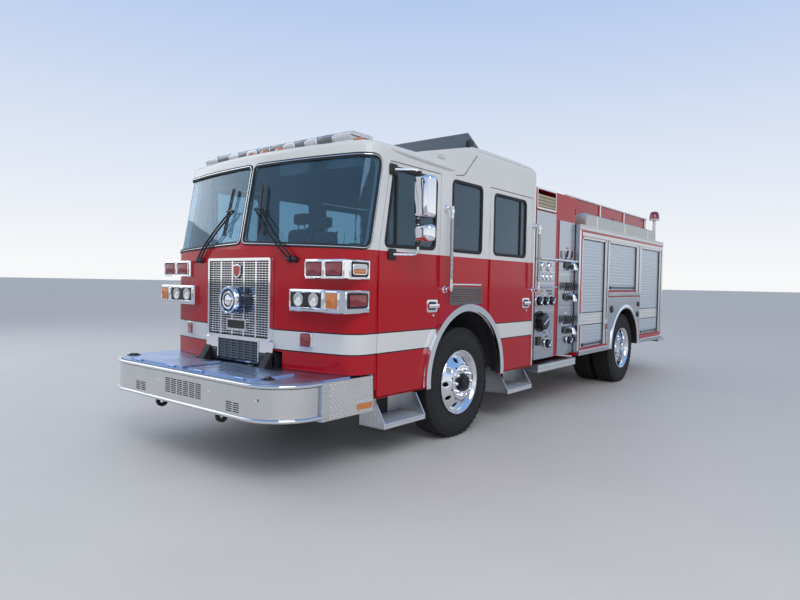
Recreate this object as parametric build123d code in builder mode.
from build123d import *
import os
from math import radians, sqrt, tan

os.makedirs("parts", exist_ok=True)

# Fire engine with an extended bumper, a four-door tilt-style cab, a side-mount pump panel
# and a body with roll-up shutters. Millimetres, +Z up, the nose points along -Y and the
# vehicle's left side is +X. The wheels stand on Z = 0 and the origin lies on the ground in
# the middle of the overall length and width. Distances along the vehicle are measured
# rearwards from the front axle, as on a chassis drawing.

# Overall sizes
FRONT_OVERHANG = 2280.0
WHEELBASE = 4570.0
REAR_OVERHANG = 2380.0
CAB_HALF = 1245.0
BODY_HALF = 1270.0
LENGTH = FRONT_OVERHANG + WHEELBASE + REAR_OVERHANG
FRONT_AXLE_Y = FRONT_OVERHANG - LENGTH / 2
REAR_AXLE_Y = FRONT_AXLE_Y + WHEELBASE
TAIL = WHEELBASE + REAR_OVERHANG

# Planes through the ground point under the front axle
PLAN = Plane(origin=(0, FRONT_AXLE_Y, 0))
SIDE = Plane(origin=(0, FRONT_AXLE_Y, 0), x_dir=(0, 1, 0), z_dir=(1, 0, 0))
FACE = Plane(origin=(0, FRONT_AXLE_Y, 0), x_dir=(1, 0, 0), z_dir=(0, -1, 0))

# Wheels and tyres
TYRE_RADIUS = 528.0
TYRE_WIDTH = 280.0
BEAD_RADIUS = 286.0
BEAD_INSET = 34.0
RIM_WALL = 14.0
FLANGE = 16.0
FLANGE_WIDTH = 12.0
TREAD_INSET = 18.0
WALL_BULGE = 118.0
FRONT_WHEEL_X = 1068.0
REAR_OUTER_X = 1092.0
TWIN_SPACING = 336.0
HUB_BORE = 34.0
RUNNING_FIT = 0.05
DISC_THICK = 18.0
DISC_DEPTH = 72.0
NAVE_RADIUS = 168.0
RING_RADIUS = 198.0
HAND_HOLES = 10
HAND_HOLE_RADIUS = 24.0
HAND_HOLE_CIRCLE = 232.0
NUT_CIRCLE = 143.0
NUT_RADIUS = 19.0
NUT_LENGTH = 30.0
AXLE_Z = TYRE_RADIUS

# Steering
KINGPIN_X = 895.0
KINGPIN_RADIUS = 22.0
EYE_RADIUS = 52.0
EYE_HEIGHT = 120.0
STEER_ARM = 190.0
ARM_THICK = 26.0

# Frame
RAIL_X = 430.0
RAIL_WIDTH = 80.0
RAIL_DEPTH = 260.0
RAIL_TOP = 880.0
RAIL_WALL = 12.0
HORN_DROP = 150.0
TOW_EYE_Y = -2150.0
TOW_EYE_Z = 430.0
TOW_EYE_RADIUS = 24.0
TOW_PLATE = 24.0

# Cab
CAB_BOTTOM = 546.0
BELT = 1740.0
LOW_ROOF = 2605.0
HIGH_ROOF = 2800.0
ROOF_SEAM = 2500.0
CAB_NOSE = -1680.0
CAB_CHEEK = -1528.0
CAB_REAR = 1450.0
CAB_SEAM = -1283.0
CAB_CORNER = 170.0
CAB_WALL = 45.0
RAKE = tan(radians(10.5))
ROOF_EDGE = 62.0
RAMP_FOOT = -760.0
RAMP_TOP = 90.0
FLOOR_TOP = 950.0
FLOOR_THICK = 50.0
GLASS_THICK = 8.0
GLASS_SET = 9.0
GLASS_GAP = 0.4

# Wheel arches
ARCH_Y = 30.0
ARCH_Z = 600.0
ARCH_INNER = 622.0
ARCH_OUTER = 684.0
ARCH_PROUD = 42.0
DOOR_ARCH = 700.0
WELL_RADIUS = 650.0
WELL_INNER_X = 545.0
WELL_WALL = 14.0
REAR_ARCH_INNER = 590.0
REAR_ARCH_OUTER = 640.0
REAR_ARCH_Z = 560.0

# Doors
DOOR_GAP = 8.0
DOOR_BOTTOM = 560.0
DOOR_TOP = 2455.0
FRONT_DOOR_REAR = -440.0
CREW_DOOR_FRONT = 450.0
CREW_DOOR_REAR = 1380.0

# Bumper
BUMPER_FACE = -2280.0
BUMPER_LOW = 475.0
BUMPER_HIGH = 745.0
BUMPER_CORNER = 380.0
BUMPER_WALL = 10.0
BUMPER_LIP = 14.0
BUMPER_LIP_HEIGHT = 26.0
BUMPER_HALF = 1232.0
BAND_FRONT = -1870.0
DECK_REAR = -1312.0
RAIL_NOSE = BUMPER_FACE + BUMPER_LIP + BUMPER_WALL
DECK_THICK = 12.0
WELL_DEPTH = 210.0
HATCH_IN = 40.0
HATCH_OUT = 870.0
HATCH_FRONT = -2200.0
HATCH_REAR = -1810.0
HATCH_THICK = 14.0
HATCH_LIP = 22.0

# Pump house and body
PUMP_FRONT = 1545.0
PUMP_REAR = 2690.0
PUMP_HALF = 1200.0
PUMP_TOP = 2300.0
POST_FRONT = 2100.0
POST_REAR = 2200.0
CROSSLAY_TOP = 2620.0
BODY_FRONT = 2700.0
BODY_REAR = 6520.0
BODY_LOW = 560.0
BODY_TOP = 2280.0
BODY_SKIN = 30.0
BAY_INNER = 930.0
HOSEBED_WALL_X = 1050.0
HOSEBED_TOP = 2680.0
HOSEBED_FLOOR = 1740.0
HOSEBED_SKIN = 30.0
SHUTTER_SET = 18.0
SHUTTER_THICK = 20.0


def keep(piece, name):
    """Label the finished piece and write it."""
    piece.part.label = name
    export_step(piece.part, f"parts/{name}.step")


def block(x, y, z, mode=Mode.ADD):
    """Box between two values on each axis, Y from the front axle."""
    with Locations(PLAN):
        with Locations(((x[0] + x[1]) / 2, (y[0] + y[1]) / 2, (z[0] + z[1]) / 2)):
            return Box(x[1] - x[0], y[1] - y[0], z[1] - z[0], mode=mode)


def rounded(points, radius, shrink=0.0):
    """Closed outline through the points with every corner rounded, then drawn in."""
    with BuildLine() as outline:
        Polyline(*points, close=True)
    make_face(outline.edges())
    fillet(vertices(), radius)
    if shrink:
        offset(amount=-shrink, mode=Mode.REPLACE)


def bar(points, radius):
    """Round bar along straight runs with mitred corners."""
    with BuildLine() as path:
        Polyline(*points)
    start = Plane(origin=points[0], z_dir=Vector(*points[1]) - Vector(*points[0]))
    with BuildSketch(start) as section:
        Circle(radius)
    sweep(section.sketch, path=path.wires()[0], transition=Transition.RIGHT)


def at_axle(x, y, z):
    """Point with Y measured from the front axle."""
    return (x, FRONT_AXLE_Y + y, z)


# Tyres, one loop for the singles in front and the twins behind

def tyre(x, y):
    """One tyre about the axle line: bead, bulging wall and flat tread."""
    half = TYRE_WIDTH / 2
    bead = half - BEAD_INSET
    tread = half - TREAD_INSET
    bulge = BEAD_RADIUS + WALL_BULGE
    plane = Plane(origin=(x, y, AXLE_Z), x_dir=(1, 0, 0), z_dir=(0, -1, 0))
    with BuildSketch(plane) as profile:
        with BuildLine():
            Polyline(
                (-bead, BEAD_RADIUS), (bead, BEAD_RADIUS), (half, bulge), (tread, TYRE_RADIUS),
                (-tread, TYRE_RADIUS), (-half, bulge), close=True)
        make_face()
    revolve(profile.sketch, axis=Axis((x, y, AXLE_Z), (1, 0, 0)))


def disc_wheel(x, y, bulge):
    """Rim barrel with flanges, and a disc that bulges along +X or -X to a flat nave, with hand holes."""
    plane = Plane(origin=(x, y, AXLE_Z), x_dir=(bulge, 0, 0), z_dir=(0, -bulge, 0))
    half = TYRE_WIDTH / 2 - BEAD_INSET - 1
    edge = half + FLANGE_WIDTH
    seat = BEAD_RADIUS - 0.3
    lip = BEAD_RADIUS + FLANGE - BEAD_INSET / 2
    inside = BEAD_RADIUS - RIM_WALL
    with BuildSketch(plane) as barrel:
        with BuildLine():
            Polyline(
                (-edge, lip), (-half, lip), (-half, seat), (half, seat), (half, lip), (edge, lip),
                (edge, inside), (-edge, inside), close=True)
        make_face()
    revolve(barrel.sketch, axis=Axis((x, y, AXLE_Z), (1, 0, 0)))
    nave = TWIN_SPACING / 2
    ring = nave - DISC_DEPTH
    with BuildSketch(plane) as disc:
        with BuildLine():
            Polyline(
                (ring, inside + 1), (ring, RING_RADIUS), (nave, NAVE_RADIUS), (nave, 0), (nave - DISC_THICK, 0),
                (nave - DISC_THICK, NAVE_RADIUS - DISC_THICK), (ring - DISC_THICK, RING_RADIUS - DISC_THICK),
                (ring - DISC_THICK, inside + 1), close=True)
        make_face()
    revolve(disc.sketch, axis=Axis((x, y, AXLE_Z), (1, 0, 0)))
    with BuildSketch(Plane(origin=(x, y, AXLE_Z), x_dir=(0, 1, 0), z_dir=(bulge, 0, 0))) as holes:
        with PolarLocations(HAND_HOLE_CIRCLE, HAND_HOLES):
            RegularPolygon(HAND_HOLE_RADIUS, 8)
    extrude(holes.sketch, amount=TYRE_WIDTH, mode=Mode.SUBTRACT)


def hub(x_from, x_to, radius, y):
    """Round hub between two places on the axle line."""
    with BuildSketch(Plane(origin=(min(x_from, x_to), y, AXLE_Z), x_dir=(0, 1, 0), z_dir=(1, 0, 0))) as end:
        Circle(radius)
    extrude(end.sketch, amount=abs(x_to - x_from))


def wheel_nuts(x, y, outward):
    """Ring of hexagon nuts that stand on the nave."""
    with BuildSketch(Plane(origin=(x, y, AXLE_Z), x_dir=(0, 1, 0), z_dir=(outward, 0, 0))) as ring:
        with PolarLocations(NUT_CIRCLE, HAND_HOLES, start_angle=360 / HAND_HOLES / 2):
            RegularPolygon(NUT_RADIUS, 6)
    extrude(ring.sketch, amount=NUT_LENGTH)


FRONT_HUB_RADIUS = 86.0
REAR_HUB_RADIUS = 96.0
FRONT_HUB_TIP = 1286.0
REAR_HUB_TIP = 1196.0
FRONT_HUB_ROOT = 985.0
REAR_HUB_ROOT = 800.0
SPINDLE_END = 1150.0
REAR_INNER_X = REAR_OUTER_X - TWIN_SPACING
for label, side in (("left", 1), ("right", -1)):
    with BuildPart() as front_tyre:
        tyre(side * FRONT_WHEEL_X, FRONT_AXLE_Y)
    keep(front_tyre, f"front_tyre_{label}")

    with BuildPart() as front_rim:
        disc_wheel(side * FRONT_WHEEL_X, FRONT_AXLE_Y, side)
        wheel_nuts(side * (FRONT_WHEEL_X + TWIN_SPACING / 2), FRONT_AXLE_Y, side)
        hub(side * FRONT_HUB_ROOT, side * FRONT_HUB_TIP, FRONT_HUB_RADIUS, FRONT_AXLE_Y)
        with BuildSketch(Plane(origin=(side * (FRONT_HUB_ROOT - 1), FRONT_AXLE_Y, AXLE_Z),
                               x_dir=(0, 1, 0), z_dir=(side, 0, 0))):
            Circle(HUB_BORE + RUNNING_FIT)
        extrude(amount=SPINDLE_END - FRONT_HUB_ROOT + 2, mode=Mode.SUBTRACT)
    keep(front_rim, f"front_rim_{label}")

    with BuildPart() as rear_tyres:
        tyre(side * REAR_OUTER_X, REAR_AXLE_Y)
        tyre(side * REAR_INNER_X, REAR_AXLE_Y)
    keep(rear_tyres, f"rear_tyres_{label}")

    # the twins' discs meet face to face, half the spacing from each rim's middle
    with BuildPart() as rear_rims:
        disc_wheel(side * REAR_OUTER_X, REAR_AXLE_Y, -side)
        disc_wheel(side * REAR_INNER_X, REAR_AXLE_Y, side)
        wheel_nuts(side * (REAR_OUTER_X - TWIN_SPACING / 2 + DISC_THICK), REAR_AXLE_Y, side)
        hub(side * REAR_HUB_ROOT, side * REAR_HUB_TIP, REAR_HUB_RADIUS, REAR_AXLE_Y)
        with BuildSketch(Plane(origin=(side * (REAR_HUB_ROOT - 1), REAR_AXLE_Y, AXLE_Z),
                               x_dir=(0, 1, 0), z_dir=(side, 0, 0))):
            Circle(HUB_BORE + RUNNING_FIT)
        extrude(amount=SPINDLE_END - REAR_HUB_ROOT + 2, mode=Mode.SUBTRACT)
    keep(rear_rims, f"rear_rims_{label}")


# Front axle: dropped beam with an upright eye at each end, and its leaf springs
BEAM_TOP = 480.0
BEAM_DEPTH = 90.0
BEAM_WIDTH = 86.0
SPRING_LENGTH = 1360.0
SPRING_WIDTH = 76.0
LEAF = 16.0
with BuildPart() as front_axle:
    with BuildSketch(FACE):
        with BuildLine():
            Polyline(
                (KINGPIN_X, AXLE_Z + EYE_HEIGHT / 2), (KINGPIN_X - 70, AXLE_Z + EYE_HEIGHT / 2),
                (640, BEAM_TOP), (-640, BEAM_TOP),
                (-KINGPIN_X + 70, AXLE_Z + EYE_HEIGHT / 2), (-KINGPIN_X, AXLE_Z + EYE_HEIGHT / 2),
                (-KINGPIN_X, AXLE_Z - EYE_HEIGHT / 2), (-KINGPIN_X + 90, AXLE_Z - EYE_HEIGHT / 2),
                (-600, BEAM_TOP - BEAM_DEPTH), (600, BEAM_TOP - BEAM_DEPTH),
                (KINGPIN_X - 90, AXLE_Z - EYE_HEIGHT / 2), (KINGPIN_X, AXLE_Z - EYE_HEIGHT / 2), close=True)
        make_face()
    extrude(amount=BEAM_WIDTH / 2, both=True)
    with BuildSketch(PLAN.offset(AXLE_Z - EYE_HEIGHT / 2)):
        with Locations((KINGPIN_X, 0), (-KINGPIN_X, 0)):
            Circle(EYE_RADIUS)
    extrude(amount=EYE_HEIGHT)
    with BuildSketch(PLAN.offset(AXLE_Z - EYE_HEIGHT)):
        with Locations((KINGPIN_X, 0), (-KINGPIN_X, 0)):
            Circle(KINGPIN_RADIUS + RUNNING_FIT)
    extrude(amount=2 * EYE_HEIGHT, mode=Mode.SUBTRACT)
    for x in (-RAIL_X, RAIL_X):
        for leaf in range(4):
            reach = SPRING_LENGTH / 2 * (1 - 0.2 * (3 - leaf))
            low = BEAM_TOP + leaf * LEAF
            block((x - SPRING_WIDTH / 2, x + SPRING_WIDTH / 2), (-reach, reach), (low, low + LEAF))
        for y in (-SPRING_LENGTH / 2 + 30, SPRING_LENGTH / 2 - 30):
            block((x - 30, x + 30), (y - 28, y + 28), (BEAM_TOP + 4 * LEAF, RAIL_TOP - RAIL_DEPTH))
keep(front_axle, "front_axle")


# Steering knuckles: jaws above and below the eye, kingpin, spindle and steering arm
JAW = 34.0
JAW_CLEAR = 6.0
for label, side in (("left", 1), ("right", -1)):
    with BuildPart() as knuckle:
        x = side * KINGPIN_X
        top = AXLE_Z + EYE_HEIGHT / 2 + JAW_CLEAR
        low = AXLE_Z - EYE_HEIGHT / 2 - JAW_CLEAR
        for z in (top, low - JAW):
            with BuildSketch(PLAN.offset(z)):
                with Locations((x, 0)):
                    Circle(EYE_RADIUS)
                with Locations((x + side * 38, 0)):
                    Rectangle(76, 2 * EYE_RADIUS)
            extrude(amount=JAW)
        with BuildSketch(PLAN.offset(low - JAW)):
            with Locations((x, 0)):
                Circle(KINGPIN_RADIUS)
        extrude(amount=top - low + 2 * JAW)
        back = sorted((x + side * (EYE_RADIUS + JAW_CLEAR), x + side * 78))
        block(back, (-EYE_RADIUS, EYE_RADIUS), (low - JAW, top + JAW))
        with BuildSketch(Plane(origin=(x + side * 77, FRONT_AXLE_Y, AXLE_Z), x_dir=(0, 1, 0), z_dir=(side, 0, 0))):
            Circle(HUB_BORE)
        extrude(amount=SPINDLE_END - KINGPIN_X - 77)
        block(sorted((x - side * 22, x + side * 40)), (STEER_ARM - 24, STEER_ARM + 24),
              (low - JAW, low - JAW + ARM_THICK))
        block(sorted((x + side * 4, x + side * 40)), (EYE_RADIUS - 10, STEER_ARM + 24),
              (low - JAW, low - JAW + ARM_THICK))
        with BuildSketch(PLAN.offset(low - JAW - 30)):
            with Locations((x, STEER_ARM)):
                Circle(9)
        extrude(amount=30)
    keep(knuckle, f"knuckle_{label}")

TIE_Z = AXLE_Z - EYE_HEIGHT / 2 - JAW_CLEAR - JAW - 16
with BuildPart() as tie_rod:
    with BuildSketch(Plane(origin=at_axle(-KINGPIN_X, STEER_ARM, TIE_Z), x_dir=(0, 1, 0), z_dir=(1, 0, 0))):
        Circle(13)
    extrude(amount=2 * KINGPIN_X)
    for x in (-KINGPIN_X, KINGPIN_X):
        with BuildSketch(PLAN.offset(TIE_Z - 14)):
            with Locations((x, STEER_ARM)):
                Circle(22)
        extrude(amount=28)
    for x in (-KINGPIN_X, KINGPIN_X):
        with BuildSketch(PLAN.offset(TIE_Z - 20)):
            with Locations((x, STEER_ARM)):
                Circle(9 + RUNNING_FIT)
        extrude(amount=40, mode=Mode.SUBTRACT)
keep(tie_rod, "tie_rod")


# Rear axle: tube, differential bowl, brake drums, springs outside the rails
REAR_SPRING_X = 516.0
SHAFT_Z = 620.0
SHAFT_RADIUS = 52.0
PINION_FACE = WHEELBASE - 235.0
with BuildPart() as rear_axle:
    with BuildSketch(Plane(origin=(-700, REAR_AXLE_Y, AXLE_Z), x_dir=(0, 1, 0), z_dir=(1, 0, 0))):
        Circle(66)
    extrude(amount=1400)
    with BuildSketch(Plane(origin=(-130, REAR_AXLE_Y, AXLE_Z), x_dir=(0, 1, 0), z_dir=(1, 0, 0))):
        Circle(205)
    extrude(amount=260)
    with BuildSketch(Plane(origin=(-SPINDLE_END, REAR_AXLE_Y, AXLE_Z), x_dir=(0, 1, 0), z_dir=(1, 0, 0))):
        Circle(HUB_BORE)
    extrude(amount=2 * SPINDLE_END)
    block((-SHAFT_RADIUS - 10, SHAFT_RADIUS + 10), (PINION_FACE, WHEELBASE), (AXLE_Z, SHAFT_Z + SHAFT_RADIUS + 10))
    for side in (1, -1):
        with BuildSketch(Plane(origin=(side * 640, REAR_AXLE_Y, AXLE_Z), x_dir=(0, 1, 0), z_dir=(side, 0, 0))):
            Circle(205)
        extrude(amount=120)
        x = side * REAR_SPRING_X
        for leaf in range(4):
            reach = SPRING_LENGTH / 2 * (1 - 0.2 * (3 - leaf))
            low = AXLE_Z + 60 + leaf * LEAF
            block((x - 36, x + 36), (WHEELBASE - reach, WHEELBASE + reach), (low, low + LEAF))
        for y in (WHEELBASE - SPRING_LENGTH / 2 + 30, WHEELBASE + SPRING_LENGTH / 2 - 30):
            block(sorted((side * (RAIL_X + RAIL_WIDTH / 2), x + side * 30)), (y - 28, y + 28),
                  (AXLE_Z + 60 + 4 * LEAF, AXLE_Z + 60 + 4 * LEAF + 90))
keep(rear_axle, "rear_axle")


# Frame: two channel rails with cross members
HORN_REAR = -1500.0
CROSS_MEMBERS = (-1330, 800, 1480, 2560, 3700, 5000, 6350)
with BuildPart() as frame_rails:
    for side in (1, -1):
        with BuildSketch(SIDE.offset(side * RAIL_X - RAIL_WIDTH / 2)):
            with BuildLine():
                Polyline(
                    (HORN_REAR, RAIL_TOP), (BODY_REAR - 60, RAIL_TOP), (BODY_REAR - 60, RAIL_TOP - RAIL_DEPTH),
                    (HORN_REAR, RAIL_TOP - RAIL_DEPTH), close=True)
            make_face()
        extrude(amount=RAIL_WIDTH)
        inner = sorted((side * (RAIL_X - RAIL_WIDTH / 2 - 1), side * (RAIL_X + RAIL_WIDTH / 2 - RAIL_WALL)))
        with BuildSketch(SIDE.offset(inner[0])):
            with BuildLine():
                Polyline(
                    (HORN_REAR - 1, RAIL_TOP - RAIL_WALL), (BODY_REAR - 72, RAIL_TOP - RAIL_WALL),
                    (BODY_REAR - 72, RAIL_TOP - RAIL_DEPTH + RAIL_WALL),
                    (HORN_REAR - 1, RAIL_TOP - RAIL_DEPTH + RAIL_WALL), close=True)
            make_face()
        extrude(amount=inner[1] - inner[0], mode=Mode.SUBTRACT)
    for y in CROSS_MEMBERS:
        web = RAIL_X + RAIL_WIDTH / 2 - RAIL_WALL
        block((-web, web), (y - 40, y + 40), (RAIL_TOP - 190, RAIL_TOP - 70))
keep(frame_rails, "frame_rails")

# Horns bolted to the rails' front ends: they carry the bumper and the tow eyes
with BuildPart() as bumper_horns:
    for side in (1, -1):
        with BuildSketch(SIDE.offset(side * RAIL_X - RAIL_WIDTH / 2)):
            with BuildLine():
                Polyline(
                    (RAIL_NOSE, RAIL_TOP - HORN_DROP), (-1800, RAIL_TOP - HORN_DROP), (-1700, RAIL_TOP),
                    (HORN_REAR, RAIL_TOP), (HORN_REAR, RAIL_TOP - RAIL_DEPTH), (-1700, RAIL_TOP - RAIL_DEPTH - 100),
                    (RAIL_NOSE, RAIL_TOP - RAIL_DEPTH - 100), close=True)
            make_face()
        extrude(amount=RAIL_WIDTH)
        start = side * RAIL_X - TOW_PLATE / 2
        with BuildSketch(SIDE.offset(start)):
            with Locations((TOW_EYE_Y, TOW_EYE_Z)):
                Circle(52)
                with Locations((0, 60)):
                    Rectangle(104, 120)
                Circle(TOW_EYE_RADIUS, mode=Mode.SUBTRACT)
        extrude(amount=TOW_PLATE)
keep(bumper_horns, "bumper_horns")


# Engine, radiator, gearbox, pump and shafts, plain blocks at their real places
RADIATOR_HALF = RAIL_X - RAIL_WIDTH / 2
MOUNT_REACH = RAIL_X + RAIL_WIDTH / 2 - RAIL_WALL
# columns: front, rear of each pair of mounts that reach the rails' webs
MOUNTS = ((-1000, -880), (-60, 60), (2000, 2120))
with BuildPart() as driveline:
    block((-340, 340), (-1180, 120), (RAIL_TOP - 240, 1440))
    block((-RADIATOR_HALF, RADIATOR_HALF), (-1590, -1480), (760, 1600))
    block((-230, 230), (120, 690), (560, 880))
    for front, rear in MOUNTS:
        block((-MOUNT_REACH, MOUNT_REACH), (front, rear), (RAIL_TOP - 190, RAIL_TOP - 70))
    with BuildSketch(FACE.offset(-690)):
        with Locations((0, SHAFT_Z)):
            Circle(SHAFT_RADIUS)
    extrude(amount=-1060)
    block((-360, 360), (1750, 2350), (560, 1180))
    with BuildSketch(FACE.offset(-2350)):
        with Locations((0, SHAFT_Z)):
            Circle(SHAFT_RADIUS)
    extrude(amount=-(PINION_FACE - 2350))
keep(driveline, "driveline")

AIR_TANK_X = 640.0
AIR_TANK_Y = 2780.0
AIR_TANK_Z = 690.0
AIR_TANK_RADIUS = 110.0
AIR_TANK_LENGTH = 760.0
with BuildPart() as tanks:
    block((-560, 560), (2800, 5400), (RAIL_TOP, 1160))
    block((-BAY_INNER + 12, BAY_INNER - 12), (2800, 5400), (1160, HOSEBED_FLOOR))
    block((-560, 560), (5420, 5920), (520, RAIL_TOP - RAIL_DEPTH))
    for side in (1, -1):
        with BuildSketch(FACE.offset(-AIR_TANK_Y)):
            with Locations((side * AIR_TANK_X, AIR_TANK_Z)):
                Circle(AIR_TANK_RADIUS)
        extrude(amount=-AIR_TANK_LENGTH)
        for y in (AIR_TANK_Y + 120, AIR_TANK_Y + AIR_TANK_LENGTH - 180):
            block(sorted((side * (RAIL_X + RAIL_WIDTH / 2), side * AIR_TANK_X)), (y, y + 60),
                  (AIR_TANK_Z - 40, AIR_TANK_Z + 40))
keep(tanks, "tanks")


# Cab form: bowed nose, rounded corners, raked screen and a raised rear roof

def cab_outline(inset, setback):
    """Plan of the cab at one level, drawn in by the inset and with its nose set back."""
    half = CAB_HALF - inset
    nose = CAB_NOSE + inset + setback
    cheek = CAB_CHEEK + inset + setback
    rear = CAB_REAR - inset
    with BuildLine() as outline:
        ThreePointArc((half, cheek), (0, nose), (-half, cheek))
        Polyline((-half, cheek), (-half, rear), (half, rear), (half, cheek))
    make_face(outline.edges())
    fillet(vertices().sort_by(Axis.Y)[:2], CAB_CORNER - inset)


def cab_form(inset, low, high, edge):
    """Closed cab form between two levels, its roof edge rounded."""
    with BuildSketch(PLAN.offset(low)) as sill:
        cab_outline(inset, 0)
    extrude(sill.sketch, amount=BELT - low)
    with BuildSketch(PLAN.offset(BELT)) as belt:
        cab_outline(inset, 0)
    with BuildSketch(PLAN.offset(high)) as top:
        cab_outline(inset, RAKE * (high - BELT))
    loft([belt.sketch, top.sketch], ruled=True)
    if edge:
        fillet(edges().group_by(Axis.Z)[-1], edge)


def raised_roof(inset, high, edge):
    """Rear part of the roof, carried up a ramp to its full height."""
    half = CAB_HALF - inset
    with BuildSketch(SIDE.offset(-half)) as profile:
        with BuildLine():
            Polyline(
                (RAMP_FOOT, LOW_ROOF - inset - 60), (RAMP_FOOT, LOW_ROOF - inset - 2), (RAMP_TOP, high),
                (CAB_REAR - inset, high), (CAB_REAR - inset, LOW_ROOF - inset - 60), close=True)
        make_face()
    extrude(profile.sketch, amount=2 * half)
    if edge:
        crown = edges().group_by(Axis.Z)[-1]
        fillet(crown, edge)


with BuildPart() as raised_outer:
    raised_roof(0, HIGH_ROOF, ROOF_EDGE)
with BuildPart() as raised_inner:
    raised_roof(CAB_WALL, HIGH_ROOF - CAB_WALL, 0)
with BuildPart() as inner_form:
    cab_form(CAB_WALL, FLOOR_TOP, LOW_ROOF - CAB_WALL, 0)
    add(raised_inner.part)
with BuildPart() as under_form:
    with BuildSketch(PLAN.offset(CAB_BOTTOM - 1)):
        cab_outline(CAB_WALL, 0)
    extrude(amount=FLOOR_TOP - FLOOR_THICK - CAB_BOTTOM + 1)
with BuildPart() as cab_skin:
    cab_form(0, CAB_BOTTOM, LOW_ROOF, ROOF_EDGE)
    add(raised_outer.part)
    add(inner_form.part, mode=Mode.SUBTRACT)
    add(under_form.part, mode=Mode.SUBTRACT)
with BuildPart() as front_region:
    with BuildSketch(SIDE.offset(-CAB_HALF - 100)):
        with BuildLine():
            Polyline(
                (CAB_NOSE - 100, CAB_BOTTOM - 10), (CAB_SEAM, CAB_BOTTOM - 10), (CAB_SEAM, BELT),
                (CAB_SEAM + RAKE * (ROOF_SEAM - BELT), ROOF_SEAM), (CAB_NOSE - 100, ROOF_SEAM), close=True)
        make_face()
    extrude(amount=2 * CAB_HALF + 200)

# Door hinges: a pin on the cab, and knuckles that belong to the cab and the door in turn
HINGE_OUT = 8.0
HINGE_PIN = 4.0
HINGE_KNUCKLE = 7.5
HINGE_LEAF = 3.0
HINGE_REACH = 30.0
HINGE_PARTS = 5
HINGE_CLEAR = 1.0


def hinge_half(side, axis_y, low, high, on_door):
    """Leaves and knuckles of one half of a hinge; the cab's half also holds the pin."""
    x = side * (CAB_HALF + HINGE_OUT)
    pitch = (high - low) / HINGE_PARTS
    for part in range(1 if on_door else 0, HINGE_PARTS, 2):
        start = low + part * pitch + HINGE_CLEAR
        length = pitch - 2 * HINGE_CLEAR
        with BuildSketch(PLAN.offset(start)) as section:
            with Locations((x, axis_y)):
                Circle(HINGE_KNUCKLE)
                if on_door:
                    Circle(HINGE_PIN + RUNNING_FIT, mode=Mode.SUBTRACT)
        extrude(section.sketch, amount=length)
        leaf = (axis_y + HINGE_PIN + 1, axis_y + HINGE_REACH) if on_door else (axis_y - HINGE_REACH, axis_y)
        block(sorted((side * CAB_HALF, side * (CAB_HALF + HINGE_LEAF))), leaf, (start, start + length))
    if not on_door:
        with BuildSketch(PLAN.offset(low + HINGE_CLEAR)) as pin:
            with Locations((x, axis_y)):
                Circle(HINGE_PIN)
        extrude(pin.sketch, amount=high - low - 2 * HINGE_CLEAR)


# columns: hinge line, low end, high end
FRONT_HINGE = (CAB_SEAM + DOOR_GAP / 2, 620, 1690)
CREW_HINGE = (CREW_DOOR_FRONT - DOOR_GAP / 2, 1190, 2340)

# Windscreen panes, side windows: outlines shared by the openings and the glass
POST_HALF = 26.0
PANE_LOW, PANE_HIGH = 1746.0, 2474.0
PANE_PILLAR = 118.0
PANE_OUT = CAB_HALF + 55
WINDSCREEN = ((POST_HALF, PANE_LOW + 60), (PANE_OUT, PANE_LOW), (PANE_OUT, PANE_HIGH), (POST_HALF, PANE_HIGH))
PANE_ROUND = 60.0
PANE_CORNER = 85.0
FRONT_WINDOW = ((-1205, 1773), (-520, 1784), (-503, 2400), (-1098, 2410))
MID_WINDOW = ((-240, 1785), (277, 1785), (277, 2430), (-240, 2430))
CREW_WINDOW = ((530, 1789), (1220, 1789), (1220, 2400), (530, 2400))
WINDOW_ROUND = 48.0


def pane_side():
    """Side view of a pane that wraps the corner: its rear edge leans with the door's front edge."""
    foot = CAB_SEAM - PANE_PILLAR
    return (
        (CAB_NOSE - 300, PANE_LOW), (foot + RAKE * (PANE_LOW - BELT), PANE_LOW),
        (foot + RAKE * (PANE_HIGH - BELT), PANE_HIGH), (CAB_NOSE - 300, PANE_HIGH))


# Two wrapped panes: outlines seen from the front, ended by one seen from the side
with BuildPart() as screen_openings:
    for side in (1, -1):
        with BuildSketch(FACE.offset(-CAB_SEAM - 260)):
            rounded([(side * x, z) for x, z in WINDSCREEN], PANE_ROUND)
        extrude(amount=800)
    with BuildSketch(SIDE.offset(-PANE_OUT - 10)):
        rounded(pane_side(), PANE_CORNER)
    extrude(amount=2 * PANE_OUT + 20, mode=Mode.INTERSECT)
with BuildPart() as screen_region:
    for side in (1, -1):
        with BuildSketch(FACE.offset(-CAB_SEAM - 260)):
            rounded([(side * x, z) for x, z in WINDSCREEN], PANE_ROUND, GLASS_GAP)
        extrude(amount=800)
    with BuildSketch(SIDE.offset(-PANE_OUT - 10)):
        rounded(pane_side(), PANE_CORNER, GLASS_GAP)
    extrude(amount=2 * PANE_OUT + 20, mode=Mode.INTERSECT)

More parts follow.
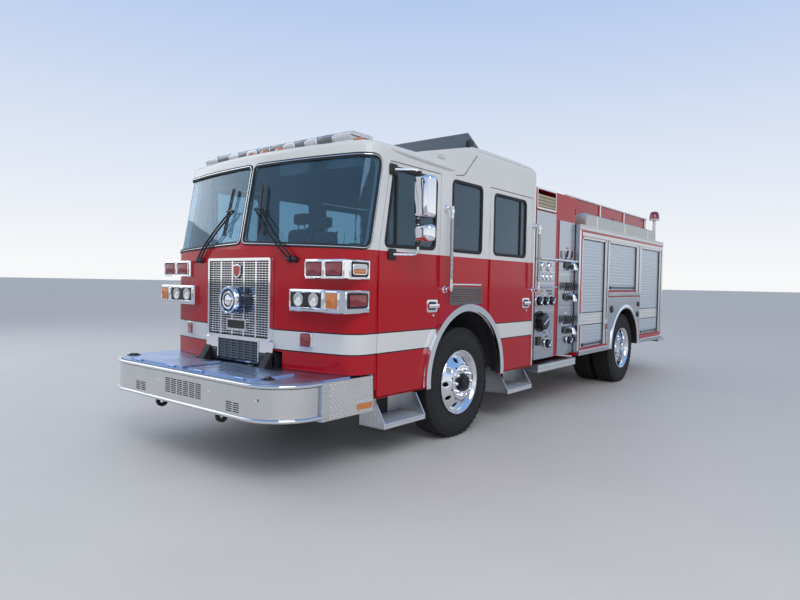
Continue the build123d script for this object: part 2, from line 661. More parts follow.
with BuildPart() as cab_front:
    add(cab_skin.part)
    add(front_region.part, mode=Mode.INTERSECT)
    add(screen_openings.part, mode=Mode.SUBTRACT)
    block((-400, 400), (CAB_NOSE - 50, CAB_NOSE + 120), (CAB_BOTTOM - 20, 1610), mode=Mode.SUBTRACT)
    block((-540, 540), (CAB_NOSE - 50, CAB_SEAM + 10), (CAB_BOTTOM - 20, RAIL_TOP + 12), mode=Mode.SUBTRACT)
    block((-540, 540), (CAB_NOSE + 70, CAB_SEAM + 10), (CAB_BOTTOM - 20, FLOOR_TOP + 1), mode=Mode.SUBTRACT)
    block((-1300, 1300), (CAB_NOSE - 50, CAB_SEAM + 10), (CAB_BOTTOM - 20, BUMPER_HIGH + 8), mode=Mode.SUBTRACT)
    for side in (1, -1):
        hinge_half(side, *FRONT_HINGE, on_door=False)
keep(cab_front, "cab_front")


def front_door_outline(grow):
    """Front door seen from the side, its lower rear corner cut round the arch."""
    lean = RAKE * (DOOR_TOP - BELT)
    with BuildLine() as outline:
        Polyline(
            (CAB_SEAM + DOOR_GAP - grow, DOOR_BOTTOM - grow), (CAB_SEAM + DOOR_GAP - grow, BELT),
            (CAB_SEAM + DOOR_GAP + lean - grow, DOOR_TOP + grow), (FRONT_DOOR_REAR + grow, DOOR_TOP + grow),
            (FRONT_DOOR_REAR + grow, DOOR_BOTTOM - grow), close=True)
    make_face(outline.edges())
    with Locations((ARCH_Y, ARCH_Z)):
        Circle(DOOR_ARCH - grow, mode=Mode.SUBTRACT)


def crew_door_outline(grow):
    """Crew door seen from the side, its lower front corner cut round the arch."""
    with BuildLine() as outline:
        Polyline(
            (CREW_DOOR_FRONT - grow, DOOR_BOTTOM - grow), (CREW_DOOR_FRONT - grow, DOOR_TOP + grow),
            (CREW_DOOR_REAR + grow, DOOR_TOP + grow), (CREW_DOOR_REAR + grow, DOOR_BOTTOM - grow), close=True)
    make_face(outline.edges())
    with Locations((ARCH_Y, ARCH_Z)):
        Circle(DOOR_ARCH - grow, mode=Mode.SUBTRACT)


with BuildPart() as cab_shell:
    add(cab_skin.part)
    add(front_region.part, mode=Mode.SUBTRACT)
    split(bisect_by=Plane.XY.offset(ROOF_SEAM), keep=Keep.BOTTOM)
    for start in (-CAB_HALF - 10, CAB_HALF - CAB_WALL - 10):
        with BuildSketch(SIDE.offset(start)):
            front_door_outline(DOOR_GAP)
        extrude(amount=CAB_WALL + 20, mode=Mode.SUBTRACT)
        with BuildSketch(SIDE.offset(start)):
            crew_door_outline(DOOR_GAP)
        extrude(amount=CAB_WALL + 20, mode=Mode.SUBTRACT)
        with BuildSketch(SIDE.offset(start)):
            rounded(MID_WINDOW, WINDOW_ROUND)
        extrude(amount=CAB_WALL + 20, mode=Mode.SUBTRACT)
    for side in (1, -1):
        start = WELL_INNER_X if side > 0 else -CAB_HALF + CAB_WALL
        depth = CAB_HALF - CAB_WALL - WELL_INNER_X
        with BuildSketch(SIDE.offset(start)):
            with Locations((ARCH_Y, ARCH_Z)):
                Circle(WELL_RADIUS + WELL_WALL)
            with Locations((ARCH_Y, ARCH_Z - 500)):
                Rectangle(3 * WELL_RADIUS, 1000, mode=Mode.SUBTRACT)
        extrude(amount=depth)
    # the well's hollow inboard of the side wall, then the arch in the wall itself
    for inner, outer, radius in ((WELL_INNER_X + WELL_WALL, CAB_HALF - CAB_WALL, WELL_RADIUS),
                                 (CAB_HALF - CAB_WALL, CAB_HALF + 10, ARCH_INNER)):
        for side in (1, -1):
            with BuildSketch(SIDE.offset(min(side * inner, side * outer))):
                with Locations((ARCH_Y, ARCH_Z)):
                    Circle(radius)
                with Locations((ARCH_Y, ARCH_Z - 300)):
                    Rectangle(2 * radius, 600)
            extrude(amount=outer - inner, mode=Mode.SUBTRACT)
    block((-480, 480), (CAB_SEAM - 10, 280), (CAB_BOTTOM, FLOOR_TOP + 10), mode=Mode.SUBTRACT)
    block((-480, 480), (CAB_REAR - 100, CAB_REAR + 10), (CAB_BOTTOM - 10, RAIL_TOP), mode=Mode.SUBTRACT)
with BuildPart() as floor_region:
    block((CAB_WALL - CAB_HALF, CAB_HALF - CAB_WALL), (CAB_SEAM, CAB_REAR - CAB_WALL),
          (CAB_BOTTOM - 1, ARCH_Z + WELL_RADIUS + 2 * WELL_WALL))
with BuildPart() as cab_body:
    add(cab_shell.part)
    add(floor_region.part, mode=Mode.SUBTRACT)
    for side in (1, -1):
        hinge_half(side, *CREW_HINGE, on_door=False)
keep(cab_body, "cab_body")

# Cab floor with the two wheel wells, set between the walls
with BuildPart() as cab_floor:
    add(cab_shell.part)
    add(floor_region.part, mode=Mode.INTERSECT)
keep(cab_floor, "cab_floor")

with BuildPart() as cab_roof:
    add(cab_skin.part)
    split(bisect_by=Plane.XY.offset(ROOF_SEAM), keep=Keep.TOP)
keep(cab_roof, "cab_roof")

# Glass: curved windscreen panes and flat mid windows
with BuildPart() as glass_inside:
    cab_form(GLASS_SET + GLASS_THICK, BELT - 50, ROOF_SEAM, 0)
with BuildPart() as cab_glass:
    cab_form(GLASS_SET, BELT - 50, ROOF_SEAM, 0)
    add(glass_inside.part, mode=Mode.SUBTRACT)
with BuildPart() as cab_glazing:
    add(cab_glass.part)
    add(screen_region.part, mode=Mode.INTERSECT)
    for start in (CAB_HALF - GLASS_SET - GLASS_THICK, -CAB_HALF + GLASS_SET):
        with BuildSketch(SIDE.offset(start)):
            rounded(MID_WINDOW, WINDOW_ROUND, GLASS_GAP)
        extrude(amount=GLASS_THICK)
keep(cab_glazing, "cab_glass")

# Doors with their windows cut, the glass, handles, and mirrors on the front pair
HANDLE = (150.0, 30.0, 26.0)
for label, side in (("left", 1), ("right", -1)):
    start = CAB_HALF - CAB_WALL if side > 0 else -CAB_HALF
    glass = CAB_HALF - GLASS_SET - GLASS_THICK if side > 0 else -CAB_HALF + GLASS_SET
    for where, outline, window, hinge, handle_y in (
            ("front", front_door_outline, FRONT_WINDOW, FRONT_HINGE, -540),
            ("crew", crew_door_outline, CREW_WINDOW, CREW_HINGE, 1262)):
        with BuildPart() as door:
            with BuildSketch(SIDE.offset(start)):
                outline(0)
            extrude(amount=CAB_WALL)
            with BuildSketch(SIDE.offset(start - 5)):
                rounded(window, WINDOW_ROUND)
            extrude(amount=CAB_WALL + 10, mode=Mode.SUBTRACT)
            block(sorted((side * CAB_HALF, side * (CAB_HALF + HANDLE[2]))),
                  (handle_y - HANDLE[0] / 2, handle_y + HANDLE[0] / 2), (1275 - HANDLE[1] / 2, 1275 + HANDLE[1] / 2))
            hinge_half(side, *hinge, on_door=True)
        keep(door, f"{where}_door_{label}")
        with BuildPart() as door_glass:
            with BuildSketch(SIDE.offset(glass)):
                rounded(window, WINDOW_ROUND, GLASS_GAP)
            extrude(amount=GLASS_THICK)
        keep(door_glass, f"{where}_door_glass_{label}")

    with BuildPart() as mirror:
        arm_x = side * (CAB_HALF + 175)
        root_x = side * (CAB_HALF + 14)
        bar([at_axle(root_x, -1120, 2392), at_axle(arm_x, -1000, 2392), at_axle(arm_x, -1000, 1706),
             at_axle(root_x, -1120, 1706)], 11)
        head = sorted((arm_x - side * 32, arm_x + side * 150))
        block(head, (-1045, -955), (2000, 2340))
        block(head, (-1045, -955), (1810, 1950))
        for z in (1706, 2392):
            block(sorted((side * CAB_HALF, side * (CAB_HALF + 24))), (-1170, -1070), (z - 45, z + 45))
    keep(mirror, f"mirror_{label}")


# Grille: chrome frame with columns of slots, the lower grille and its surround
GRILLE_HALF = 430.0
GRILLE_LOW = 974.0
GRILLE_HIGH = 1656.0
GRILLE_Y = CAB_NOSE - 10
GRILLE_ROWS = 22
GRILLE_COLUMNS = 5
LOWER_ROWS = 7
with BuildPart() as grille:
    block((-GRILLE_HALF, GRILLE_HALF), (GRILLE_Y, CAB_NOSE), (GRILLE_LOW, GRILLE_HIGH))
    pitch = (GRILLE_HIGH - GRILLE_LOW - 80) / GRILLE_ROWS
    column = (2 * GRILLE_HALF - 80) / GRILLE_COLUMNS
    with BuildSketch(FACE.offset(-CAB_NOSE - 5)):
        with Locations((0, (GRILLE_LOW + GRILLE_HIGH) / 2)):
            with GridLocations(column, pitch, GRILLE_COLUMNS, GRILLE_ROWS):
                Rectangle(column - 26, pitch - 10)
        with Locations((0, 1300)):
            Circle(150, mode=Mode.SUBTRACT)
    extrude(amount=60, mode=Mode.SUBTRACT)
    block((-470, 470), (CAB_NOSE - 20, CAB_NOSE + 15), (BUMPER_HIGH + 12, GRILLE_LOW))
    with BuildSketch(FACE.offset(-CAB_NOSE - 25)):
        with Locations((0, 868)):
            with GridLocations(110, 22, 6, LOWER_ROWS):
                Rectangle(94, 13)
    extrude(amount=80, mode=Mode.SUBTRACT)
    for side in (1, -1):
        block(sorted((side * (RAIL_X - RAIL_WIDTH / 2 - 4), side * 480)), (CAB_NOSE - 30, CAB_NOSE + 20),
              (BUMPER_HIGH, RAIL_TOP + 6), mode=Mode.SUBTRACT)
keep(grille, "grille")

SIREN_RADIUS = 118.0
SIREN_Z = 1300.0
SIREN_REACH = 92.0
with BuildPart() as siren:
    with BuildSketch(FACE.offset(-GRILLE_Y)):
        with Locations((0, SIREN_Z)):
            Circle(SIREN_RADIUS - 14)
    extrude(amount=SIREN_REACH)
    with BuildSketch(FACE.offset(-GRILLE_Y + SIREN_REACH - 14)):
        with Locations((0, SIREN_Z)):
            Circle(SIREN_RADIUS)
    extrude(amount=42)
    with BuildSketch(FACE.offset(-GRILLE_Y + SIREN_REACH + 16)):
        with Locations((0, SIREN_Z)):
            Circle(SIREN_RADIUS - 16)
            Circle(SIREN_RADIUS - 44, mode=Mode.SUBTRACT)
    extrude(amount=20, mode=Mode.SUBTRACT)
keep(siren, "siren")


# Front lamps, beacons and tail lamps

def on_bow(x):
    """Y of the cab's bowed nose at a distance from the middle."""
    sag = CAB_CHEEK - CAB_NOSE
    radius = (CAB_HALF ** 2 + sag ** 2) / (2 * sag)
    return CAB_NOSE + radius - sqrt(radius ** 2 - x ** 2)


TAIL_X = 1110.0
# columns: middle x, middle z, width, height of each lens on the front
LENSES = ((866, 1572, 112, 96), (990, 1572, 112, 96), (775, 1324, 190, 118), (930, 1324, 96, 118))
LENS_GROOVE = 8.0
LENS_ROUND = 10.0
LENS_DEPTH = 20.0
with BuildPart() as cab_solid:
    with BuildSketch(PLAN.offset(CAB_BOTTOM)):
        cab_outline(0, 0)
    extrude(amount=BELT - CAB_BOTTOM)
with BuildPart() as lamp_housings:
    for low, high, inner, proud in ((1236, 1411, 667, 66), (1497, 1647, 803, 44)):
        for side in (1, -1):
            with BuildSketch(PLAN.offset(low)):
                with BuildLine():
                    Polyline(
                        (side * inner, on_bow(inner) - proud), (side * 1090, on_bow(1090) - proud),
                        (side * (CAB_HALF + 18), -1480), (side * (CAB_HALF + 18), -1400),
                        (side * (CAB_HALF - 60), -1400), (side * inner, on_bow(inner) + 60), close=True)
                make_face()
            extrude(amount=high - low)
    for side in (1, -1):
        block(sorted((side * 760, side * 861)), (on_bow(860) - 36, on_bow(700) + 40), (947, 1069))
    add(cab_solid.part, mode=Mode.SUBTRACT)
    for x, z, width, height in LENSES:
        for side in (1, -1):
            with BuildSketch(FACE.offset(-on_bow(x + width / 2) + LENS_DEPTH)):
                with Locations((side * x, z)):
                    RectangleRounded(width, height, LENS_ROUND)
                    RectangleRounded(width - 2 * LENS_GROOVE, height - 2 * LENS_GROOVE, LENS_ROUND / 2,
                                     mode=Mode.SUBTRACT)
            extrude(amount=200, mode=Mode.SUBTRACT)
    for side in (1, -1):
        for z in (1000, 1180, 1360):
            block(sorted((side * (TAIL_X - 75), side * (TAIL_X + 75))), (BODY_REAR, BODY_REAR + 36), (z - 75, z + 75))
        with BuildSketch(PLAN.offset(BODY_TOP)):
            with Locations((side * 1125, 6440)):
                Circle(26)
        extrude(amount=410)
        with BuildSketch(PLAN.offset(BODY_TOP + 410)):
            with Locations((side * 1125, 6440)):
                Circle(92)
        extrude(amount=150, taper=8)
keep(lamp_housings, "lamps")

BAR_HALF = 1010.0
BAR_Y = -1230.0
with BuildPart() as light_bar:
    with BuildSketch(SIDE.offset(-BAR_HALF)):
        with Locations((BAR_Y, LOW_ROOF + 74)):
            RectangleRounded(290, 104, 34)
    extrude(amount=2 * BAR_HALF)
    for x in (-700, 700):
        block((x - 60, x + 60), (BAR_Y - 70, BAR_Y + 70), (LOW_ROOF, LOW_ROOF + 30))
keep(light_bar, "light_bar")

FAIRING_HALF = 1150.0
FAIRING_TOP = 2955.0
with BuildPart() as roof_fairing:
    with BuildSketch(SIDE.offset(-FAIRING_HALF)):
        with BuildLine():
            Polyline(
                (RAMP_TOP + 5, HIGH_ROOF), (RAMP_TOP + 5, HIGH_ROOF + 18), (RAMP_TOP + 40, FAIRING_TOP),
                (RAMP_TOP + 56, FAIRING_TOP), (RAMP_TOP + 330, HIGH_ROOF), close=True)
        make_face()
    extrude(amount=2 * FAIRING_HALF)
keep(roof_fairing, "roof_fairing")


# Cab inside: seats, dashboard with column and wheel, engine cover
SEAT_WIDTH = 500.0
STAND_CLEAR = 0.3
# columns: middle x, middle y, cushion top, facing (-1 looks forward), front and rear of the stand
SEATS = ((800, -420, 1450, -1, -600, -220), (-800, -420, 1450, -1, -600, -220),
         (850, 330, 1450, 1, 120, 630), (-850, 330, 1450, 1, 120, 630),
         (620, 1180, 1390, -1, 1020, 1340), (0, 1180, 1390, -1, 1020, 1340), (-620, 1180, 1390, -1, 1020, 1340))
with BuildPart() as cab_seats:
    for x, y, top, facing, front, rear in SEATS:
        half = SEAT_WIDTH / 2
        base = top - 130
        block((x - half, x + half), (y - 220, y + 220), (base, top))
        block((x - 160, x + 160), (front, rear), (FLOOR_TOP, base))
        back = sorted((y - facing * 120, y - facing * 220))
        block((x - half + 20, x + half - 20), back, (top, top + 640))
        block((x - 130, x + 130), back, (top + 640, top + 800))
    with BuildSketch(SIDE.offset(-CAB_HALF)):
        with Locations((ARCH_Y, ARCH_Z)):
            Circle(WELL_RADIUS + WELL_WALL + STAND_CLEAR)
    extrude(amount=2 * CAB_HALF, mode=Mode.SUBTRACT)
keep(cab_seats, "cab_seats")

WHEEL_X = 800.0
with BuildPart() as cab_console:
    with BuildSketch(SIDE.offset(-1150)):
        with BuildLine():
            Polyline(
                (-1360, 1120), (-1180, 1330), (-1180, 1560), (-1330, 1640), (-1420, 1640), (-1420, 1120), close=True)
        make_face()
    extrude(amount=2300)
    with BuildSketch(FACE.offset(1425)):
        with BuildLine():
            Polyline(
                (-520, FLOOR_TOP), (520, FLOOR_TOP), (520, FLOOR_TOP + 12), (430, FLOOR_TOP + 12), (400, 1560),
                (-400, 1560), (-430, FLOOR_TOP + 12), (-520, FLOOR_TOP + 12), close=True)
        make_face()
        fillet(vertices().group_by(Axis.Y)[-1], 70)
    extrude(amount=-1725)
    with BuildSketch(FACE.offset(1435)):
        with BuildLine():
            Polyline((-372, FLOOR_TOP - 400), (372, FLOOR_TOP - 400), (350, 1500), (-350, 1500), close=True)
        make_face()
    extrude(amount=-1710, mode=Mode.SUBTRACT)
    for side in (1, -1):
        block(sorted((side * 1150, side * (CAB_HALF - CAB_WALL))), (-1345, -1295), (1250, 1550))
    column_low = at_axle(WHEEL_X, -1200, 1360)
    column_high = at_axle(WHEEL_X, -960, 1640)
    lean = Vector(*column_high) - Vector(*column_low)
    bar([column_low, column_high], 32)
    with BuildSketch(Plane(origin=column_high, x_dir=(1, 0, 0), z_dir=lean)):
        Circle(230)
        Circle(198, mode=Mode.SUBTRACT)
        Rectangle(420, 50)
        Circle(60)
    extrude(amount=28)
keep(cab_console, "cab_console")


# Fenderettes: polished rings round the wheel arches
with BuildPart() as fenderettes:
    for side in (1, -1):
        start = CAB_HALF if side > 0 else -CAB_HALF - ARCH_PROUD
        with BuildSketch(SIDE.offset(start)):
            with Locations((ARCH_Y, ARCH_Z)):
                Circle(ARCH_OUTER)
                Circle(ARCH_INNER, mode=Mode.SUBTRACT)
            with Locations((ARCH_Y, -200)):
                Rectangle(2000, 2 * (CAB_BOTTOM + 200), mode=Mode.SUBTRACT)
        extrude(amount=ARCH_PROUD)
        start = BODY_HALF if side > 0 else -BODY_HALF - 12
        with BuildSketch(SIDE.offset(start)):
            with Locations((WHEELBASE, REAR_ARCH_Z)):
                Circle(REAR_ARCH_OUTER)
                Circle(REAR_ARCH_INNER, mode=Mode.SUBTRACT)
            with Locations((WHEELBASE, -200)):
                Rectangle(2000, 2 * (BODY_LOW + 200), mode=Mode.SUBTRACT)
        extrude(amount=12)
keep(fenderettes, "fenderettes")


# Steps: two per side under the cab doors, running boards and the tailboard
# columns: front, rear, tread height
CAB_STEPS = ((-1178, -616, 321), (885, 1455, 335))
STEP_NOSE = 1250.0
STEP_INNER = 975.0
STEP_TOP_X = 1145.0
STEP_TOP = 500.0
STEP_DEPTH = 42.0
STEP_PLATE = 14.0
BOARD_INNER = 1010.0
BOARD_TOP = 545.0
BOARD_LOW = 455.0
BOARD_ARMS = (1760, 2480)
with BuildPart() as steps:
    for front, rear, tread in CAB_STEPS:
        for side in (1, -1):
            x = sorted((side * STEP_INNER, side * STEP_NOSE))
            block(x, (front, rear), (tread - STEP_DEPTH, tread))
            for y in (front, rear - STEP_PLATE):
                with BuildSketch(FACE.offset(-y)):
                    with BuildLine():
                        Polyline(
                            (side * STEP_INNER, tread), (side * STEP_NOSE, tread),
                            (side * STEP_TOP_X, STEP_TOP), (side * STEP_INNER, STEP_TOP), close=True)
                    make_face()
                extrude(amount=-STEP_PLATE)
            # the front plate runs on up to the cab floor and carries the step
            block(sorted((side * STEP_INNER, side * STEP_TOP_X)), (front, front + STEP_PLATE),
                  (STEP_TOP, FLOOR_TOP - FLOOR_THICK))
            block(sorted((side * STEP_INNER, side * (STEP_INNER + STEP_PLATE))), (front, rear), (tread, STEP_TOP))
    rail_side = RAIL_X + RAIL_WIDTH / 2
    for side in (1, -1):
        block(sorted((side * BOARD_INNER, side * BODY_HALF)), (PUMP_FRONT + 20, BODY_FRONT - 40),
              (BOARD_LOW, BOARD_TOP))
        for y in BOARD_ARMS:
            block(sorted((side * rail_side, side * BOARD_INNER)), (y - 20, y + 20), (BOARD_LOW, BOARD_LOW + 50))
            block(sorted((side * rail_side, side * (rail_side + STEP_PLATE))), (y - 20, y + 20),
                  (BOARD_LOW, RAIL_TOP - 180))
    block((-BODY_HALF + 40, BODY_HALF - 40), (BODY_REAR, TAIL), (500, 560))
keep(steps, "steps")


# Front bumper: rolled stainless channel round the extension, tow eyes below

def bumper_plan(grow):
    """Plan of the bumper: straight face, large round corners, sides back to the cab."""
    with BuildLine() as outline:
        Polyline(
            (-BUMPER_HALF - grow, BAND_FRONT), (-BUMPER_HALF - grow, BUMPER_FACE - grow),
            (BUMPER_HALF + grow, BUMPER_FACE - grow), (BUMPER_HALF + grow, BAND_FRONT), close=True)
    make_face(outline.edges())
    fillet(vertices().group_by(Axis.Y)[0], BUMPER_CORNER + grow)


# columns: middle x, middle z, columns, rows, column pitch, slot width
LOUVRES = ((70, 612, 6, 8, 86, 74), (-572, 555, 2, 5, 84, 70), (720, 555, 2, 5, 84, 70))
LOUVRE_PITCH = 15.5
LOUVRE_SLOT = 8.5
with BuildPart() as front_bumper:
    with BuildSketch(PLAN.offset(BUMPER_LOW)):
        bumper_plan(-BUMPER_LIP)
    extrude(amount=BUMPER_HIGH - BUMPER_LOW)
    for z in (BUMPER_LOW, BUMPER_HIGH - BUMPER_LIP_HEIGHT):
        with BuildSketch(PLAN.offset(z)):
            bumper_plan(0)
        extrude(amount=BUMPER_LIP_HEIGHT)
    with BuildSketch(PLAN.offset(BUMPER_LOW - 5)):
        bumper_plan(-BUMPER_LIP - BUMPER_WALL)
    extrude(amount=BUMPER_HIGH - BUMPER_LOW + 10, mode=Mode.SUBTRACT)
    with BuildSketch(FACE.offset(-BUMPER_FACE - 60)):
        for x, z, columns, rows, pitch_x, width in LOUVRES:
            with Locations((x, z)):
                with GridLocations(pitch_x, LOUVRE_PITCH, columns, rows):
                    Rectangle(width, LOUVRE_SLOT)
    extrude(amount=100, mode=Mode.SUBTRACT)
keep(front_bumper, "front_bumper")

DECK_TOP = BUMPER_HIGH + 5
HATCH_PIN = 3.0
HATCH_KNUCKLE = 6.5
HATCH_AXIS = (HATCH_FRONT - 8, DECK_TOP + 7)
HATCH_HINGES = (200, 720)


def hatch_knuckle(x, bore):
    """Round knuckle along the hatches' hinge line between two values of X."""
    with BuildSketch(SIDE.offset(min(x))) as section:
        with Locations(HATCH_AXIS):
            Circle(HATCH_KNUCKLE)
            if bore:
                Circle(bore, mode=Mode.SUBTRACT)
    extrude(section.sketch, amount=max(x) - min(x))


with BuildPart() as bumper_deck:
    with BuildSketch(PLAN.offset(DECK_TOP - DECK_THICK)):
        with BuildLine():
            Polyline(
                (-BUMPER_HALF + 30, CAB_NOSE + 140), (-BUMPER_HALF + 30, BUMPER_FACE + 30),
                (BUMPER_HALF - 30, BUMPER_FACE + 30), (BUMPER_HALF - 30, CAB_NOSE + 140), close=True)
        make_face()
        fillet(vertices().group_by(Axis.Y)[0], BUMPER_CORNER - 30)
    extrude(amount=DECK_THICK)
    for side in (1, -1):
        notch = sorted((side * (RAIL_X - RAIL_WIDTH / 2 - 5), side * (RAIL_X + RAIL_WIDTH / 2 + 5)))
        block(notch, (-1805, CAB_SEAM), (DECK_TOP - DECK_THICK - 1, DECK_TOP + 1), mode=Mode.SUBTRACT)
    for side in (1, -1):
        block(sorted((side * (HATCH_IN + HATCH_LIP), side * (RAIL_X - RAIL_WIDTH / 2 - 8))),
              (HATCH_FRONT + HATCH_LIP, HATCH_REAR - HATCH_LIP), (DECK_TOP - DECK_THICK - 1, DECK_TOP + 1),
              mode=Mode.SUBTRACT)
    for side in (1, -1):
        box = sorted((side * (BUMPER_HALF - 60), side * (BUMPER_HALF + 8)))
        block(box, (BAND_FRONT, DECK_REAR), (455, BUMPER_HIGH - 6))
        for middle in HATCH_HINGES:
            for end in (middle - 50, middle + 30):
                x = sorted((side * end, side * (end + 20)))
                block(x, (HATCH_AXIS[0] - 6, HATCH_AXIS[0] + 4), (DECK_TOP, HATCH_AXIS[1]))
                hatch_knuckle(x, 0)
            with BuildSketch(SIDE.offset(side * middle - 40)):
                with Locations(HATCH_AXIS):
                    Circle(HATCH_PIN)
            extrude(amount=80)
keep(bumper_deck, "bumper_deck")

with BuildPart() as hose_wells:
    for side in (1, -1):
        wall = 8
        x = (HATCH_IN + HATCH_LIP, RAIL_X - RAIL_WIDTH / 2)
        y = (HATCH_FRONT + HATCH_LIP, HATCH_REAR - HATCH_LIP)
        block(sorted((side * (x[0] - wall), side * x[1])), (y[0] - wall, y[1] + wall),
              (DECK_TOP - WELL_DEPTH, DECK_TOP - DECK_THICK))
        block(sorted((side * x[0], side * (x[1] - wall))), y, (DECK_TOP - WELL_DEPTH + wall, DECK_TOP),
              mode=Mode.SUBTRACT)
keep(hose_wells, "hose_wells")

for label, side in (("left", 1), ("right", -1)):
    with BuildPart() as hatch:
        x = sorted((side * HATCH_IN, side * HATCH_OUT))
        block(x, (HATCH_FRONT, HATCH_REAR), (DECK_TOP + 0.3, DECK_TOP + HATCH_THICK))
        for middle in HATCH_HINGES:
            block((side * middle - 29, side * middle + 29), (HATCH_AXIS[0], HATCH_FRONT),
                  (HATCH_AXIS[1] + HATCH_PIN + 0.5, DECK_TOP + HATCH_THICK))
            hatch_knuckle((side * middle - 29, side * middle + 29), HATCH_PIN + RUNNING_FIT)
    keep(hatch, f"hatch_{label}")


# Grab bars at the doors and the tail
BAR_RADIUS = 16.0
# columns: y, low, high, wall x
GRABS = ((-360, 1420, 2160, CAB_HALF), (1415, 1420, 2150, CAB_HALF))
with BuildPart() as grab_bars:
    for side in (1, -1):
        for y, low, high, wall in GRABS:
            out = side * (wall + 75)
            bar([at_axle(side * wall, y, low), at_axle(out, y, low), at_axle(out, y, high),
                 at_axle(side * wall, y, high)], BAR_RADIUS)
        out = BODY_REAR + 80
        bar([at_axle(side * 930, BODY_REAR, 900), at_axle(side * 930, out, 900), at_axle(side * 930, out, 2100),
             at_axle(side * 930, BODY_REAR, 2100)], BAR_RADIUS)
keep(grab_bars, "grab_bars")


# Pump house: walls, top and the post that splits the panels
with BuildPart() as pump_house:
    block((-PUMP_HALF, PUMP_HALF), (PUMP_FRONT, PUMP_REAR), (RAIL_TOP, PUMP_TOP + 60))
    block((-PUMP_HALF + 30, PUMP_HALF - 30), (PUMP_FRONT + 30, PUMP_REAR - 30), (RAIL_TOP - 10, PUMP_TOP + 30),
          mode=Mode.SUBTRACT)
    block((-PUMP_HALF, PUMP_HALF), (POST_FRONT, POST_REAR), (600, RAIL_TOP), mode=Mode.ADD)
    block((-PUMP_HALF + 120, PUMP_HALF - 120), (POST_FRONT - 10, POST_REAR + 10), (590, RAIL_TOP + 1),
          mode=Mode.SUBTRACT)
keep(pump_house, "pump_house")

# Crosslay box: bay open at both sides, and the closed part behind the post
with BuildPart() as crosslay:
    block((-PUMP_HALF, PUMP_HALF), (PUMP_FRONT, PUMP_REAR), (PUMP_TOP + 60, CROSSLAY_TOP))
    block((-PUMP_HALF - 10, PUMP_HALF + 10), (PUMP_FRONT + 30, POST_FRONT - 10), (PUMP_TOP + 64, CROSSLAY_TOP - 20),
          mode=Mode.SUBTRACT)
keep(crosslay, "crosslay")

PANEL_THICK = 12.0
RUB_RAILS = ((2706, 3796), (5246, 6500))
# columns: reach, low, high
RUB_RAIL = (26.0, 562.0, 626.0)
with BuildPart() as side_panels:
    for side in (1, -1):
        x = sorted((side * PUMP_HALF, side * (PUMP_HALF + PANEL_THICK)))
        block(x, (PUMP_FRONT + 15, POST_FRONT - 4), (600, PUMP_TOP + 50))
        block(x, (POST_REAR + 4, PUMP_REAR - 20), (600, PUMP_TOP - 10))
        x = sorted((side * BODY_HALF, side * (BODY_HALF + 6)))
        with BuildSketch(SIDE.offset(x[0])):
            with BuildLine():
                Polyline((3800, BODY_LOW), (5240, BODY_LOW), (5240, 1320), (3800, 1320), close=True)
            make_face()
            with Locations((WHEELBASE, REAR_ARCH_Z)):
                Circle(REAR_ARCH_OUTER, mode=Mode.SUBTRACT)
        extrude(amount=x[1] - x[0])
        for front, rear in RUB_RAILS:
            block(sorted((side * BODY_HALF, side * (BODY_HALF + RUB_RAIL[0]))), (front, rear), RUB_RAIL[1:])
keep(side_panels, "side_panels")

# columns: y, z, radius, length
OUTLETS = ((1760, 1060, 100, 90), (2450, 784, 42, 70), (2390, 1400, 34, 60), (2390, 1180, 34, 60),
           (1900, 800, 42, 70))
with BuildPart() as pump_fittings:
    for side in (1, -1):
        for y, z, radius, length in OUTLETS:
            start = side * (PUMP_HALF + PANEL_THICK)
            with BuildSketch(Plane(origin=at_axle(start, y, z), x_dir=(0, 1, 0), z_dir=(side, 0, 0))):
                Circle(radius)
            extrude(amount=length)
        for y in (1700, 1850, 2000):
            for z in (1330, 1560):
                start = side * (PUMP_HALF + PANEL_THICK)
                with BuildSketch(Plane(origin=at_axle(start, y, z), x_dir=(0, 1, 0), z_dir=(side, 0, 0))):
                    Circle(55 if z > 1400 else 34)
                extrude(amount=24)
        out = side * (PUMP_HALF + PANEL_THICK + 55)
        bar([at_axle(side * (PUMP_HALF + PANEL_THICK), PUMP_FRONT + 40, 1790), at_axle(out, PUMP_FRONT + 40, 1790),
             at_axle(out, PUMP_REAR - 40, 1790), at_axle(side * (PUMP_HALF + PANEL_THICK), PUMP_REAR - 40, 1790)], 14)
keep(pump_fittings, "pump_fittings")


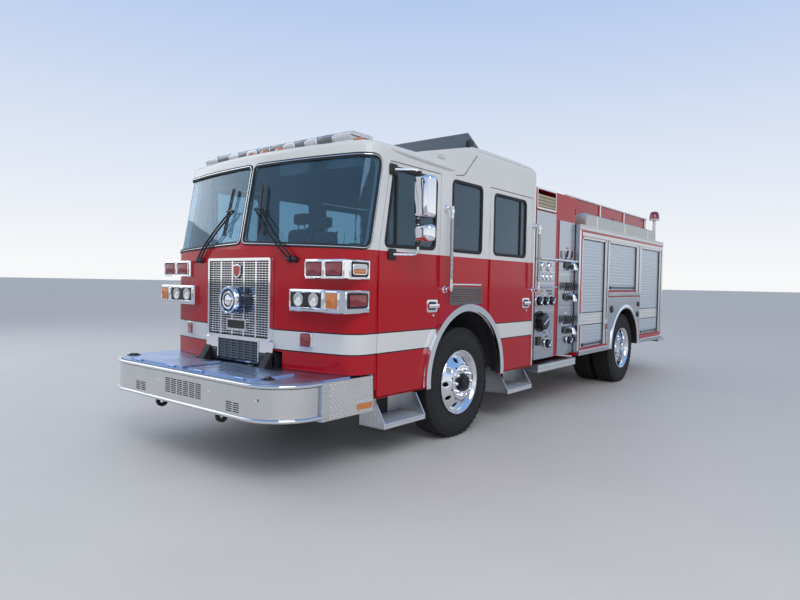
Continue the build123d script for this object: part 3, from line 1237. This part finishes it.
# Body: side compartments with shutter openings, tank bay between them, closed rear wall
# columns: front, rear, low, high
SHUTTERS = ((2800, 3670, 650, 2133), (3800, 5080, 1420, 2140), (5280, 6350, 694, 2140))
with BuildPart() as body_shell:
    for side in (1, -1):
        x = sorted((side * BAY_INNER, side * BODY_HALF))
        block(x, (BODY_FRONT, BODY_REAR), (BODY_LOW, BODY_TOP))
        for front, rear, low, high in SHUTTERS:
            inner = sorted((side * (BAY_INNER + BODY_SKIN), side * (BODY_HALF + 5)))
            block(inner, (front, rear), (low, high), mode=Mode.SUBTRACT)
        start = 0 if side > 0 else -BODY_HALF - 5
        with BuildSketch(SIDE.offset(start)):
            with Locations((WHEELBASE, REAR_ARCH_Z)):
                Circle(REAR_ARCH_INNER)
            with Locations((WHEELBASE, REAR_ARCH_Z - 250)):
                Rectangle(2 * REAR_ARCH_INNER, 500)
        extrude(amount=BODY_HALF + 5, mode=Mode.SUBTRACT)
    block((-BAY_INNER, BAY_INNER), (BODY_REAR - BODY_SKIN, BODY_REAR), (BODY_LOW, HOSEBED_FLOOR))
    block((-450, 450), (BODY_REAR - BODY_SKIN - 5, BODY_REAR + 5), (760, 1660), mode=Mode.SUBTRACT)
keep(body_shell, "body_shell")

with BuildPart() as shutters:
    for side in (1, -1):
        for front, rear, low, high in SHUTTERS:
            x = sorted((side * (BODY_HALF - SHUTTER_SET), side * (BODY_HALF - SHUTTER_SET - SHUTTER_THICK)))
            block(x, (front, rear), (low, high))
    block((-450, 450), (BODY_REAR - BODY_SKIN, BODY_REAR - 10), (760, 1660))
keep(shutters, "shutters")

with BuildPart() as hosebed:
    wall = HOSEBED_SKIN
    block((-BAY_INNER, BAY_INNER), (BODY_FRONT, BODY_REAR), (HOSEBED_FLOOR, HOSEBED_FLOOR + wall))
    block((-BAY_INNER, BAY_INNER), (BODY_FRONT, BODY_FRONT + wall), (HOSEBED_FLOOR, BODY_TOP))
    block((-HOSEBED_WALL_X, HOSEBED_WALL_X), (BODY_FRONT, BODY_FRONT + wall), (BODY_TOP, HOSEBED_TOP))
    for side in (1, -1):
        block(sorted((side * HOSEBED_WALL_X, side * (HOSEBED_WALL_X - wall))), (BODY_FRONT, 6200),
              (BODY_TOP, HOSEBED_TOP))
        block(sorted((side * (HOSEBED_WALL_X + 20), side * (BODY_HALF - 10))), (2960, 6040),
              (BODY_TOP, BODY_TOP + 24))
        block(sorted((side * (BODY_HALF - 30), side * (BODY_HALF - 10))), (2960, 6040),
              (BODY_TOP + 24, BODY_TOP + 150))
        for y in (3000, 4500, 6000):
            block(sorted((side * HOSEBED_WALL_X, side * (HOSEBED_WALL_X + 40))), (y - 20, y + 20),
                  (BODY_TOP, BODY_TOP + 240))
keep(hosebed, "hosebed")
